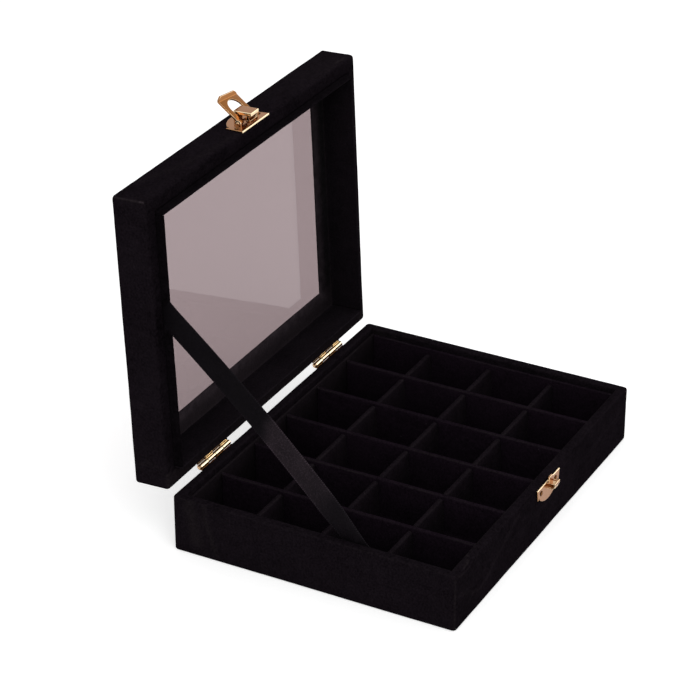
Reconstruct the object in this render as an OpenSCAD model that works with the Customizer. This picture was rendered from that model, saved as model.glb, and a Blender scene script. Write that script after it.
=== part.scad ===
// Velvet display box with a glazed lid, twenty-four compartments, two pressed-in hinges, a ribbon stay and
// a brass clasp. Millimetres. X runs along the hinges, the clasp faces -Y, and Z is up. The origin is the
// middle of the base's underside. Lid pieces are drawn shut and then turned open about the hinge axis.

/* [Case] */
// Width of the case along the hinges
case_w = 200; // [180:1:260]
// Depth of the case from clasp to hinges
case_d = 150; // [120:1:200]
// Height of the base from its underside to its rim
base_h = 30; // [26:0.5:45]
// Height of the lid from its rim to its top
lid_h = 18.5; // [16:0.5:30]
// Thickness of the wrapped walls
wall_t = 5; // [4.5:0.1:8]
// Radius of the soft edges along the walls
edge_r = 1.2; // [0.6:0.1:2]
// Radius of the upright corners
corner_r = 2; // [1:0.1:4]
// Thickness of the bottom panel
bottom_t = 3; // [2:0.5:5]
// Gap between the two rims when the lid is shut
rim_gap = 0.4; // [0.3:0.1:0.8]
// Angle of the open lid from shut
lid_open = 92.5; // [70:0.5:105]

/* [Tray] */
// Number of compartment rows from left to right
row_count = 6; // [3:1:6]
// Number of compartments in each row
col_count = 4; // [2:1:4]
// Clear width of the first and last row
end_row = 27.9; // [22:0.1:36]
// Thickness of the liner strips
liner_t = 1.5; // [1.2:0.1:2.5]
// Height of the rim above the tray liners
liner_drop = 3; // [2:0.1:3.6]
// Gap between the lid liners, which stand out of the lid's rim, and the tray liners when it is shut
liner_gap = 0.4; // [0.3:0.1:2]
// Gap between the standing edge of the lid liners and the base's walls
liner_play = 0.3; // [0.2:0.05:0.5]
// Thickness of the tray's floor pad
pad_t = 1.2; // [0.8:0.1:3]
// Thickness of the long dividers
long_t = 2.4; // [1.6:0.1:4]
// Height of the rim above the long dividers
long_drop = 4.2; // [2:0.1:8]
// Thickness of the cross dividers
cross_t = 2.6; // [1.6:0.1:4]
// Height of the rim above the cross dividers
cross_drop = 5; // [3:0.1:9]

/* [Window] */
// Width of the velvet border between the lid liners and the glass
border_w = 12.4; // [8:0.1:20]
// Thickness of the border under the glass
border_t = 1; // [0.8:0.1:2]
// Thickness of the glass pane
glass_t = 1.5; // [1:0.1:3]
// How far the pane reaches behind the border
glass_lap = 4.5; // [2:0.1:7]
// Gap around the edge of the pane
glass_play = 0.2; // [0.1:0.05:0.5]
// Thickness of the lid's top panel
panel_t = 2; // [1.5:0.1:4]

/* [Hinges] */
// Distance of each hinge from the end of the case
hinge_end = 28; // [15:0.5:40]
// Length of each hinge
hinge_len = 28; // [20:0.5:40]
// Number of knuckles on each hinge
knuckle_count = 4; // [3:1:6]
// Gap between two knuckles
knuckle_gap = 0.2; // [0.1:0.05:0.4]
// Outer diameter of the barrel
barrel_d = 2.8; // [2.4:0.1:3.6]
// Gap between the barrel and the back walls
barrel_clear = 0.3; // [0.25:0.05:0.8]
// Diameter of the hinge pin
pin_d = 1.4; // [1:0.1:1.6]
// Running clearance around the hinge pin
pin_play = 0.04; // [0.02:0.01:0.08]
// Diameter of the peened heads on the pin
pin_head_d = 2.3; // [2:0.1:2.6]
// Thickness of the peened heads on the pin
pin_head_t = 0.5; // [0.3:0.1:1]
// Thickness of the hinge leaves
leaf_t = 0.7; // [0.5:0.05:0.9]
// Depth of the saw kerf that each leaf is pressed into
leaf_in = 4; // [2.5:0.1:4.2]
// Gap between a leaf and its kerf
kerf_play = 0.05; // [0.02:0.01:0.15]

/* [Ribbon] */
// Width of the ribbon stay
ribbon_w = 12.5; // [8:0.5:20]
// Thickness of the ribbon stay
ribbon_t = 0.5; // [0.4:0.05:0.8]
// Distance of the ribbon's end in the base from the hinge axis
ribbon_reach = 100; // [70:1:105]
// Distance of the ribbon's end in the lid from the hinge axis
ribbon_lid_reach = 93; // [70:1:105]
// Length of ribbon tucked behind each liner
ribbon_tail = 7; // [4:0.5:8]
// Gap between the ribbon and its pocket
ribbon_play = 0.1; // [0.05:0.05:0.2]

/* [Clasp plates] */
// Width of both plates along the rim
plate_w = 25.5; // [23:0.5:32]
// Thickness of both plates
plate_t = 0.8; // [0.6:0.05:1.2]
// How far each side of a plate draws in away from the rim
plate_taper = 0.8; // [0:0.1:2]
// Width of the round lobe on each plate
lobe_w = 20.4; // [16:0.2:21.5]
// Radius of the notch beside each lobe
notch_r = 0.8; // [0.4:0.1:1]
// Distance of the keeper plate below the base rim
keeper_drop = 1.6; // [1.2:0.1:3]
// Length of the keeper plate's straight sides
keeper_side = 5.8; // [5:0.1:8]
// Height of the keeper plate over its lobe
keeper_reach = 10; // [8.5:0.1:14]
// Distance of the keeper nails from the middle
keeper_nail_x = 8.4; // [6:0.1:9.5]
// Distance of the keeper nails below the plate's top edge
keeper_nail_drop = 3.2; // [2:0.1:4]
// Distance of the hasp plate from the lid rim
hasp_edge = 0.2; // [0:0.1:1]
// Length of the hasp plate's straight sides
hasp_side = 9.6; // [8:0.1:11]
// Height of the hasp plate over its lobe
hasp_reach = 14; // [12:0.1:15]
// Distance of the hasp nails from the middle
hasp_nail_x = 10.4; // [10.2:0.1:10.8]
// Distance of the hasp nails from the plate's rim edge
hasp_nail_rise = 4.6; // [3:0.1:7]
// Diameter of the nail heads
nail_head_d = 2.2; // [1.6:0.1:2.4]
// Height of the round nail heads
nail_head_h = 0.7; // [0.4:0.1:1]
// Diameter of the nail shanks
nail_d = 1; // [0.7:0.1:1.2]
// Length of the nail in the wall
nail_in = 3.4; // [2:0.1:4]
// Gap between a nail and its hole
nail_play = 0.05; // [0.02:0.01:0.1]

/* [Clasp strips] */
// Thickness of the bent strips on the plates
strip_t = 0.9; // [0.6:0.05:1.2]
// Width of the keeper hook
hook_w = 5.5; // [4:0.1:7]
// How far the hook stands out from the wall
hook_out = 5.4; // [4.6:0.1:7]
// Radius of the hook's bend at the middle of the strip
hook_bend = 2; // [1:0.1:2.4]
// Distance of the hook's lip below the base rim
hook_drop = 1.4; // [0.8:0.1:2.5]
// How far the hook's inner tab stands out from the wall
tab_out = 2.1; // [1.9:0.1:2.6]
// Gap between the shut bridge and the inner tab
tab_clear = 0.4; // [0.3:0.1:0.8]
// Width of the folded bridge on the hasp plate
bridge_w = 7.1; // [5:0.1:8]
// Distance from the lid rim to the bridge's near face
bridge_near = 1.2; // [1:0.1:1.5]
// Distance from the lid rim to the bridge's far face
bridge_far = 9.5; // [8.5:0.1:11]
// Height of the bridge from the wall
bridge_h = 7; // [5:0.1:9]
// Width of the bridge's rolled near end
curl_w = 2.7; // [2.2:0.1:2.8]
// Height of the opening between the plate and the rolled end
curl_lift = 0.8; // [0.5:0.1:1.5]
// Distance from the bridge's top to the end of the roll
curl_drop = 1.9; // [1.4:0.1:3]

/* [Hasp loop] */
// Distance of the loop's pin from the lid rim
pivot_rise = 5.2; // [5:0.1:6]
// Distance of the loop's pin from the wall
pivot_out = 2.3; // [2.3:0.1:3]
// Diameter of the loop's pin
hasp_pin_d = 1.1; // [0.8:0.1:1.3]
// Running clearance around the loop's pin
hasp_pin_play = 0.05; // [0.02:0.01:0.08]
// Diameter of the heads on the loop's pin
hasp_head_d = 1.8; // [1.5:0.1:2.2]
// Thickness of the heads on the loop's pin
hasp_head_t = 0.4; // [0.2:0.1:0.6]
// Thickness of the two ears
ear_t = 0.8; // [0.5:0.1:1]
// Radius of the ears around the pin
ear_r = 1.65; // [1.3:0.05:2.1]
// Gap between the loop and each ear
ear_gap = 0.15; // [0.1:0.05:0.3]
// Width of the loop
loop_w = 15; // [14:0.1:16]
// Width of each arm of the loop
loop_arm = 3; // [2:0.1:3.4]
// Thickness of the loop
loop_t = 1; // [0.7:0.1:1.2]
// Length of the loop from its pin to the bent lip
loop_len = 12.9; // [11:0.1:14]
// Width of the bar between the opening and the lip
loop_bar = 1; // [0.8:0.1:2]
// Radius of the eyes around the pin
eye_r = 1.2; // [1:0.05:1.25]
// Length of the bent lip
lip_len = 2.9; // [2:0.1:3.2]
// Width of the lip's end
lip_w = 11; // [8:0.1:14]
// Angle of the lip's bend
lip_bend = 47; // [30:1:60]
// Angle of the loop above the hasp plate as photographed
loop_rest = 43; // [20:1:80]
// Angle between the hooked loop and the base's front
loop_hooked = 7; // [6:0.5:10]
// Gap between the hooked loop's bar and the hook
hook_clear = 0.35; // [0.3:0.05:1]

/* [Hidden] */
$fn = 48;
velvet = [0.075, 0.065, 0.08];
nap = [0.11, 0.1, 0.115];
satin = [0.16, 0.15, 0.17];
brass = [0.78, 0.58, 0.38];
pane = [0.72, 0.68, 0.69, 0.4];

in_w = case_w - 2 * wall_t;
in_d = case_d - 2 * wall_t;
tray_w = in_w - 2 * liner_t;
tray_d = in_d - 2 * liner_t;
tray_z = bottom_t + pad_t;
liner_top = base_h - liner_drop;
long_top = base_h - long_drop;
cross_top = base_h - cross_drop;
row_pitch = (tray_w - 2 * end_row - long_t) / (row_count - 2);
col_pitch = (tray_d + cross_t) / col_count;

lid_z = base_h + rim_gap;
lid_top = lid_z + lid_h;
glass_top = lid_top - panel_t;
glass_low = glass_top - glass_t;
border_low = glass_low - border_t;
lid_liner_z = liner_top + liner_gap;
window_w = tray_w - 2 * border_w;
window_d = tray_d - 2 * border_w;
glass_w = window_w + 2 * glass_lap;
glass_d = window_d + 2 * glass_lap;

barrel_r = barrel_d / 2;
axis_y = case_d / 2 + barrel_r + barrel_clear;
axis_z = base_h + rim_gap / 2;
hinge_x = case_w / 2 - hinge_end - hinge_len / 2;
knuckle_len = hinge_len / knuckle_count;
leaf_edge = barrel_clear / 2;
kerf_depth = leaf_in + kerf_play;

// The ribbon runs straight from the base's left liner to the lid's, which is turned open first
function opened(p) = let (y = p[0] - axis_y, z = p[1] - axis_z)
    [axis_y + y * cos(lid_open) + z * sin(lid_open), axis_z - y * sin(lid_open) + z * cos(lid_open)];
ribbon_low = [axis_y - ribbon_reach, liner_top];
ribbon_high = opened([axis_y - ribbon_lid_reach, lid_liner_z]);
ribbon_span = norm(ribbon_high - ribbon_low);
ribbon_tilt = atan2(ribbon_high[1] - ribbon_low[1], ribbon_high[0] - ribbon_low[0]);
ribbon_x = -in_w / 2 + ribbon_play;

front_y = -case_d / 2;
keeper_top = base_h - keeper_drop;
plate_half = plate_t / 2;
strip_half = strip_t / 2;
pivot_z = lid_z + pivot_rise;
loop_gap = loop_w - 2 * loop_arm;
arch_y = loop_len - loop_bar - loop_gap / 2;
hook_reach = arch_y + sqrt(pow(loop_gap, 2) - pow(hook_w, 2)) / 2;
hook_low = pivot_z - hook_reach * cos(loop_hooked) + loop_t / 2 * sin(loop_hooked) + hook_clear;
hook_top = base_h - hook_drop;
tab_top = lid_z + bridge_near - tab_clear;
ear_x = loop_w / 2 + ear_gap;
keeper_nail_z = keeper_top - keeper_nail_drop;
hasp_nail_z = lid_z + hasp_edge + hasp_nail_rise;

rows = [1 : row_count];
cols = [1 : col_count - 1];

// Turns lid pieces from shut to open
module open_lid() {
    translate([0, axis_y, axis_z]) rotate([-lid_open, 0, 0]) translate([0, -axis_y, -axis_z]) children();
}

// Turns what is drawn open back to the shut lid
module shut_lid() {
    translate([0, axis_y, axis_z]) rotate([lid_open, 0, 0]) translate([0, -axis_y, -axis_z]) children();
}

// Extrudes a Y-Z drawing along X, centred
module along_x(length) {
    translate([-length / 2, 0, 0]) rotate([90, 0, 90]) linear_extrude(length) children();
}

// Lays an X-Y drawing on the front face, its Y pointing up, and thickens it towards -Y
module on_front(thickness) {
    translate([0, front_y, 0]) rotate([90, 0, 0]) linear_extrude(thickness) children();
}

module mirrored_x() {
    for (side = [0, 1]) mirror([side, 0, 0]) children();
}

module rounded_rect(w, d, r) {
    square([w - 2 * r, d], center = true);
    square([w, d - 2 * r], center = true);
    for (x = [-1, 1], y = [-1, 1]) translate([x * (w / 2 - r), y * (d / 2 - r)]) circle(r);
}

// A strip of sheet metal along a path, with round bends
module strip(path, t) {
    for (p = path) translate(p) circle(d = t);
    for (i = [1 : len(path) - 1]) {
        run = path[i] - path[i - 1];
        translate(path[i - 1]) rotate(atan2(run[1], run[0])) translate([0, -t / 2]) square([norm(run), t]);
    }
}

// Section of a wrapped wall: soft along both outer edges and the rim's inner edge
module wall_section(h, rim_up) {
    inner_y = rim_up ? 0 : h - edge_r;
    translate([0, edge_r]) square([wall_t, h - 2 * edge_r]);
    translate([edge_r, 0]) square([wall_t - 2 * edge_r, h]);
    translate([wall_t - edge_r, inner_y]) square([edge_r, edge_r]);
    for (x = [edge_r, wall_t - edge_r], y = [edge_r, h - edge_r]) translate([x, y]) circle(edge_r);
}

// A mitred wall drawn along X with its outside at -Y; span is the case's size along the wall
module wall(span, depth, z, h, rim_up) {
    intersection() {
        translate([0, -depth / 2, z]) along_x(span) wall_section(h, rim_up);
        translate([0, 0, z]) linear_extrude(h) intersection() {
            rounded_rect(span, depth, corner_r);
            polygon([[-span / 2, -depth / 2], [span / 2, -depth / 2],
                     [span / 2 - wall_t, wall_t - depth / 2], [wall_t - span / 2, wall_t - depth / 2]]);
        }
    }
}

module front_wall(z, h, rim_up) wall(case_w, case_d, z, h, rim_up);
module back_wall(z, h, rim_up) rotate(180) wall(case_w, case_d, z, h, rim_up);
module left_wall(z, h, rim_up) rotate(-90) wall(case_d, case_w, z, h, rim_up);
module right_wall(z, h, rim_up) rotate(90) wall(case_d, case_w, z, h, rim_up);

// A wrapped strip along X with a round top edge
module round_strip(length, t, low, high) {
    along_x(length) {
        translate([-t / 2, low]) square([t, high - low - t / 2]);
        translate([0, high - t / 2]) circle(d = t);
    }
}

module long_liner(side) {
    translate([0, side * (in_d - liner_t) / 2, 0]) round_strip(in_w, liner_t, bottom_t, liner_top);
}

module side_liner(side) {
    translate([side * (in_w - liner_t) / 2, 0, 0]) rotate(90)
        round_strip(tray_d, liner_t, bottom_t, liner_top);
}

// A lid liner along X with its outside at -Y: a full strip in the lid, and a thinner round edge that stands
// out of it and clears the base's walls
module lid_strip(length, depth, end_play) {
    edge = liner_t - liner_play;
    translate([0, -depth / 2, 0]) {
        along_x(length) translate([0, lid_z]) square([liner_t, border_low - lid_z]);
        along_x(length - 2 * end_play) translate([liner_play, lid_liner_z + edge / 2]) {
            square([edge, lid_z - lid_liner_z]);
            translate([edge / 2, 0]) circle(d = edge);
        }
    }
}

// The ribbon's band in the Y-Z plane, grown for its pockets
module ribbon_band(grow = 0) {
    translate(ribbon_low) rotate(ribbon_tilt) translate([-ribbon_tail - grow, -ribbon_w / 2 - grow])
        square([ribbon_span + 2 * ribbon_tail + 2 * grow, ribbon_w + 2 * grow]);
}

module ribbon_pocket() {
    translate([-in_w / 2, 0, 0]) rotate([90, 0, 90])
        linear_extrude(ribbon_t + 2 * ribbon_play) ribbon_band(ribbon_play);
}

// Both plates share one outline: straight at the rim, drawn in along the sides, ending in a round lobe
module plate_outline(side, reach) {
    rise = reach - side;
    lobe_r = (pow(lobe_w / 2, 2) + pow(rise, 2)) / (2 * rise);
    difference() {
        union() {
            polygon([[-plate_w / 2, 0], [plate_w / 2, 0], [plate_w / 2 - plate_taper, side],
                     [plate_taper - plate_w / 2, side]]);
            intersection() {
                translate([0, reach - lobe_r]) circle(lobe_r, $fn = 96);
                translate([-lobe_w / 2, 0]) square([lobe_w, reach]);
            }
        }
        for (x = [-1, 1]) translate([x * (lobe_w / 2 + notch_r / 2), side]) circle(notch_r);
    }
}

// A nail standing on the plate's face, point down -Z
module nail() {
    cap_r = (pow(nail_head_d / 2, 2) + pow(nail_head_h, 2)) / (2 * nail_head_h);
    intersection() {
        translate([0, 0, nail_head_h - cap_r]) sphere(cap_r);
        cylinder(d = nail_head_d + nail_head_h, h = nail_head_h);
    }
    translate([0, 0, -plate_t - nail_in]) cylinder(d = nail_d, h = plate_t + nail_in + nail_head_h / 2);
}

module nails(x, z) {
    mirrored_x() translate([x, front_y - plate_t, z]) rotate([90, 0, 0]) nail();
}

module nail_holes(x, z) {
    depth = plate_t + nail_in + nail_play;
    mirrored_x() translate([x, front_y + nail_in + nail_play, z]) rotate([90, 0, 0])
        cylinder(d = nail_d + 2 * nail_play, h = depth + plate_t);
}

// One hinge leaf in the shut case: the base's knuckles start at the first place, the lid's at the second.
// up is 1 for the base's leaf, whose sheet runs under the barrel, and -1 for the lid's, which runs over it.
module hinge_leaf(first, up) {
    sheet_z = up * -barrel_r + (up > 0 ? 0 : -leaf_t);
    places = [first : 2 : knuckle_count];
    difference() {
        union() {
            translate([-hinge_len / 2, case_d / 2 - leaf_in, axis_z + sheet_z])
                cube([hinge_len, leaf_in + leaf_edge, leaf_t]);
            for (k = places) translate([(k - 1 / 2) * knuckle_len - hinge_len / 2, 0, axis_z]) {
                translate([(knuckle_gap - knuckle_len) / 2, case_d / 2, sheet_z])
                    cube([knuckle_len - knuckle_gap, axis_y - case_d / 2, leaf_t]);
                translate([(knuckle_gap - knuckle_len) / 2, axis_y, 0]) rotate([0, 90, 0])
                    cylinder(r = barrel_r, h = knuckle_len - knuckle_gap);
            }
        }
        translate([-hinge_len, axis_y, axis_z]) rotate([0, 90, 0])
            cylinder(d = pin_d + 2 * pin_play, h = 2 * hinge_len);
    }
}

module hinge_pin() {
    translate([0, axis_y, axis_z]) rotate([0, 90, 0]) {
        cylinder(d = pin_d, h = hinge_len, center = true);
        for (end = [0, 1]) mirror([0, 0, end])
            translate([0, 0, hinge_len / 2]) cylinder(d = pin_head_d, h = pin_head_t);
    }
}

// Saw kerfs for both hinges, as deep as the leaves
module kerfs(up) {
    sheet_z = up * -barrel_r + (up > 0 ? 0 : -leaf_t);
    for (x = [-hinge_x, hinge_x])
        translate([x - hinge_len / 2 - kerf_play, case_d / 2 - kerf_depth, axis_z + sheet_z - kerf_play])
            cube([hinge_len + 2 * kerf_play, kerf_depth + wall_t, leaf_t + 2 * kerf_play]);
}

module base_bottom_panel() color(velvet)
    translate([-in_w / 2, -in_d / 2, 0]) cube([in_w, in_d, bottom_t]);

module base_front_wall() color(velvet) difference() {
    front_wall(0, base_h, true);
    nail_holes(keeper_nail_x, keeper_nail_z);
}

module base_back_wall() color(velvet) difference() {
    back_wall(0, base_h, true);
    kerfs(1);
}

module base_left_wall() color(velvet) left_wall(0, base_h, true);
module base_right_wall() color(velvet) right_wall(0, base_h, true);

module tray_floor_pad() color(velvet)
    translate([-tray_w / 2, -tray_d / 2, bottom_t]) cube([tray_w, tray_d, pad_t]);

module tray_front_liner() color(nap) long_liner(-1);
module tray_back_liner() color(nap) long_liner(1);
module tray_right_liner() color(nap) side_liner(1);

module tray_left_liner() color(nap) difference() {
    side_liner(-1);
    ribbon_pocket();
}

function long_x(i) = (i - row_count / 2) * row_pitch;

module long_divider(i) color(nap)
    translate([long_x(i), 0, 0]) rotate(90) round_strip(tray_d, long_t, tray_z, long_top);

// A cross divider fills its row between two long dividers, or between one and the side liner
module cross_divider(r, c) {
    from = r == 1 ? -tray_w / 2 : long_x(r - 1) + long_t / 2;
    to = r == row_count ? tray_w / 2 : long_x(r) - long_t / 2;
    color(nap) translate([(from + to) / 2, (c - col_count / 2) * col_pitch, 0])
        round_strip(to - from, cross_t, tray_z, cross_top);
}

// Keeper: a plate with a strip bent out of it into a round hook, and a straight tab behind the hook
module keeper_plate() color(brass) {
    low = hook_low + strip_half;
    face = hook_out - strip_half;
    bend = [face - hook_bend, low + hook_bend];
    difference() {
        translate([0, 0, keeper_top]) mirror([0, 0, 1]) on_front(plate_t)
            plate_outline(keeper_side, keeper_reach);
        nail_holes(keeper_nail_x, keeper_nail_z);
    }
    translate([0, front_y, 0]) mirror([0, 1, 0]) along_x(hook_w) {
        strip([[plate_half, low], [face - hook_bend, low]], strip_t);
        strip([[face, low + hook_bend], [face, hook_top - strip_half]], strip_t);
        strip([[tab_out - strip_half, low], [tab_out - strip_half, tab_top - strip_half]], strip_t);
        translate(bend) intersection() {
            difference() {
                circle(hook_bend + strip_half);
                circle(hook_bend - strip_half);
            }
            translate([0, -hook_out]) square(hook_out);
        }
    }
}

module keeper_nails() color(brass) nails(keeper_nail_x, keeper_nail_z);

module base_leaf(x) color(brass) translate([x, 0, 0]) hinge_leaf(1, 1);
module left_hinge_base_leaf() base_leaf(-hinge_x);
module right_hinge_base_leaf() base_leaf(hinge_x);
module left_hinge_pin() color(brass) translate([-hinge_x, 0, 0]) hinge_pin();
module right_hinge_pin() color(brass) translate([hinge_x, 0, 0]) hinge_pin();

module lid_front_wall() color(velvet) open_lid() difference() {
    front_wall(lid_z, lid_h, false);
    nail_holes(hasp_nail_x, hasp_nail_z);
}

module lid_back_wall() color(velvet) open_lid() difference() {
    back_wall(lid_z, lid_h, false);
    kerfs(-1);
}

module lid_left_wall() color(velvet) open_lid() left_wall(lid_z, lid_h, false);
module lid_right_wall() color(velvet) open_lid() right_wall(lid_z, lid_h, false);

module window(low, high) {
    translate([-window_w / 2, -window_d / 2, low]) cube([window_w, window_d, high - low]);
}

module lid_top_panel() color(velvet) open_lid() difference() {
    translate([-in_w / 2, -in_d / 2, glass_top]) cube([in_w, in_d, panel_t]);
    window(glass_low, lid_top + panel_t);
}

module glass_pane() color(pane) open_lid()
    translate([-glass_w / 2, -glass_d / 2, glass_low]) cube([glass_w, glass_d, glass_t]);

// The border holds the pane in a rebate under the top panel
module glass_border() color(nap) open_lid() difference() {
    translate([-in_w / 2, -in_d / 2, border_low]) cube([in_w, in_d, glass_t + border_t]);
    window(border_low - border_t, lid_top);
    translate([-glass_w / 2 - glass_play, -glass_d / 2 - glass_play, glass_low])
        cube([glass_w + 2 * glass_play, glass_d + 2 * glass_play, panel_t + glass_t]);
}

module lid_front_liner() color(nap) open_lid() lid_strip(in_w, in_d, liner_play);
module lid_back_liner() color(nap) open_lid() rotate(180) lid_strip(in_w, in_d, liner_play);
module lid_right_liner() color(nap) open_lid() rotate(90) lid_strip(tray_d, in_w, 0);

module lid_left_liner() color(nap) open_lid() difference() {
    rotate(-90) lid_strip(tray_d, in_w, 0);
    shut_lid() ribbon_pocket();
}

module lid_leaf(x) color(brass) open_lid() translate([x, 0, 0]) hinge_leaf(2, -1);
module left_hinge_lid_leaf() lid_leaf(-hinge_x);
module right_hinge_lid_leaf() lid_leaf(hinge_x);

// Hasp plate: a strip folded up over the pin and rolled in at the rim, and an ear at each end of the pin
module hasp_plate() color(brass) open_lid() {
    near = bridge_near + strip_half;
    far = bridge_far - strip_half;
    top = bridge_h - strip_half;
    roll = plate_t + curl_lift + strip_half;
    roll_end = near + curl_w - strip_t;
    difference() {
        translate([0, 0, lid_z + hasp_edge]) on_front(plate_t) plate_outline(hasp_side, hasp_reach);
        nail_holes(hasp_nail_x, hasp_nail_z);
    }
    translate([0, front_y, lid_z]) mirror([0, 1, 0]) {
        along_x(bridge_w) strip([[plate_half, far], [top, far], [top, near], [roll, near], [roll, roll_end],
                                 [top - curl_drop, roll_end]], strip_t);
        mirrored_x() translate([ear_x + ear_t / 2, 0, 0]) along_x(ear_t) difference() {
            union() {
                translate([pivot_out, pivot_rise]) circle(ear_r);
                translate([plate_half, pivot_rise - ear_r]) square([pivot_out - plate_half, 2 * ear_r]);
            }
            translate([pivot_out, pivot_rise]) circle(d = hasp_pin_d + 2 * hasp_pin_play);
        }
    }
}

module at_pivot() {
    translate([0, front_y - pivot_out, pivot_z]) children();
}

module hasp_pin() color(brass) open_lid() at_pivot() rotate([0, 90, 0]) {
    length = 2 * (ear_x + ear_t);
    cylinder(d = hasp_pin_d, h = length, center = true);
    for (end = [0, 1]) mirror([0, 0, end])
        translate([0, 0, length / 2]) cylinder(d = hasp_head_d, h = hasp_head_t);
}

module hasp_nails() color(brass) open_lid() nails(hasp_nail_x, hasp_nail_z);

// The loop is drawn flat from its pin along +Y, and then turned up to its photographed angle
module loop_flat() {
    difference() {
        union() {
            translate([0, 0, -loop_t / 2]) linear_extrude(loop_t) difference() {
                translate([-loop_w / 2, 0]) square([loop_w, loop_len]);
                translate([-loop_gap / 2, -eye_r]) square([loop_gap, arch_y + eye_r]);
                translate([0, arch_y]) circle(d = loop_gap);
            }
            translate([0, loop_len, 0]) {
                rotate([0, 90, 0]) cylinder(d = loop_t, h = loop_w, center = true);
                rotate([lip_bend, 0, 0]) translate([0, 0, -loop_t / 2]) linear_extrude(loop_t)
                    polygon([[-loop_w / 2, 0], [loop_w / 2, 0], [loop_w / 2, lip_len / 3],
                             [lip_w / 2, lip_len], [-lip_w / 2, lip_len], [-loop_w / 2, lip_len / 3]]);
            }
            mirrored_x() translate([loop_w / 2 - loop_arm, 0, 0]) rotate([0, 90, 0])
                cylinder(r = eye_r, h = loop_arm);
        }
        rotate([0, 90, 0]) cylinder(d = hasp_pin_d + 2 * hasp_pin_play, h = 2 * loop_w, center = true);
    }
}

module hasp_loop() color(brass) open_lid() at_pivot() rotate([90 + loop_rest, 0, 0]) loop_flat();

module ribbon_stay() color(satin)
    translate([ribbon_x, 0, 0]) rotate([90, 0, 90]) linear_extrude(ribbon_t) ribbon_band();

base_bottom_panel();
base_front_wall();
base_back_wall();
base_left_wall();
base_right_wall();
tray_floor_pad();
tray_front_liner();
tray_back_liner();
tray_left_liner();
tray_right_liner();
for (i = [1 : row_count - 1])
    long_divider(i);
for (r = rows, c = cols)
    cross_divider(r, c);
keeper_plate();
keeper_nails();
left_hinge_base_leaf();
right_hinge_base_leaf();
left_hinge_pin();
right_hinge_pin();
lid_front_wall();
lid_back_wall();
lid_left_wall();
lid_right_wall();
lid_top_panel();
glass_pane();
glass_border();
lid_front_liner();
lid_back_liner();
lid_left_liner();
lid_right_liner();
left_hinge_lid_leaf();
right_hinge_lid_leaf();
hasp_plate();
hasp_pin();
hasp_nails();
hasp_loop();
ribbon_stay();
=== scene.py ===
import math
import bmesh
import bpy
from bmesh.types import BMEdge, BMFace, BMVert
from mathutils import Matrix, Vector, noise
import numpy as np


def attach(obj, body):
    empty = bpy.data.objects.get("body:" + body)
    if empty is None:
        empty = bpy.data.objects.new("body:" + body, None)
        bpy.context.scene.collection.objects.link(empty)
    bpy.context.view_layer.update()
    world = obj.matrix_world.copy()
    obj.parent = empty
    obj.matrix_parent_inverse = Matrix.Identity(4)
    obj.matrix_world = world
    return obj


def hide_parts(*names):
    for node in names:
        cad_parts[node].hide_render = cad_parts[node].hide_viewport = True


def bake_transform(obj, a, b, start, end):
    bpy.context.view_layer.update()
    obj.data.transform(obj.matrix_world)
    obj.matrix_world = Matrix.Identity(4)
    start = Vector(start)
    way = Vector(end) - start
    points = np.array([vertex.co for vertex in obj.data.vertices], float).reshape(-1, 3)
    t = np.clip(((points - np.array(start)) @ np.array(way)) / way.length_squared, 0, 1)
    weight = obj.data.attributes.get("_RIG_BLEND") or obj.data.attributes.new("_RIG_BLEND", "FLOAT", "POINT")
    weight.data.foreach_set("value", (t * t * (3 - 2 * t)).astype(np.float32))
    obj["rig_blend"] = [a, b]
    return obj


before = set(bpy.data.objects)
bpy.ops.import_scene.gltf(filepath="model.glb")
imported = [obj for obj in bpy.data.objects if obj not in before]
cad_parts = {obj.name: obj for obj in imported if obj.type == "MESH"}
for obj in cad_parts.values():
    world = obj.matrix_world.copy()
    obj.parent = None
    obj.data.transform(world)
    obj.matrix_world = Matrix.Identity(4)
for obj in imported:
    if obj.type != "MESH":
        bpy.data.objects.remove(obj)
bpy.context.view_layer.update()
scene = bpy.context.scene
scene.view_settings.view_transform = "Standard"

# millimetres, as in the part's source
case = {"width": 200.0, "depth": 150.0, "baseHeight": 30.0, "lidHeight": 18.5, "wall": 5.0,
        "edge": 1.2, "corner": 2.0, "rimGap": 0.4}
hinge = {"y": 76.7, "z": 30.2, "open": 92.5, "middle": 58.0, "length": 28.0, "knuckles": 4,
         "gap": 0.2, "barrel": 1.4, "sheet": 0.7, "sheetIn": 4.0, "sheetOut": 0.42, "sheetEdge": 0.08,
         "root": 1.0, "roll": 318.0, "glintTop": 0.5, "flatShade": (0.02, 0.1), "rootShade": (-0.2, 0.4),
         "rootDark": 0.9}
frontY = -case["depth"] / 2
lidRim = case["baseHeight"] + case["rimGap"]
lidTop = lidRim + case["lidHeight"]
axisPoint = Vector((0, hinge["y"], hinge["z"]))
openLid = (Matrix.Translation(axisPoint) @ Matrix.Rotation(math.radians(-hinge["open"]), 4, "X")
           @ Matrix.Translation(-axisPoint))     # turns pieces drawn shut to the open lid


# shader maths: a socket that takes part in plain expressions

class Socket:
    def __init__(self, finish, plug):
        self.finish = finish
        self.plug = plug

    def sum(self, kind, other, flip=False):
        pair = (other, self) if flip else (self, other)
        return self.finish.node("ShaderNodeMath", {"operation": kind}, {0: pair[0], 1: pair[1]})

    def __add__(self, other): return self.sum("ADD", other)
    def __radd__(self, other): return self.sum("ADD", other, True)
    def __sub__(self, other): return self.sum("SUBTRACT", other)
    def __rsub__(self, other): return self.sum("SUBTRACT", other, True)
    def __mul__(self, other): return self.sum("MULTIPLY", other)
    def __rmul__(self, other): return self.sum("MULTIPLY", other, True)
    def __gt__(self, other): return self.sum("GREATER_THAN", other)
    def __lt__(self, other): return self.sum("LESS_THAN", other)


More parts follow.
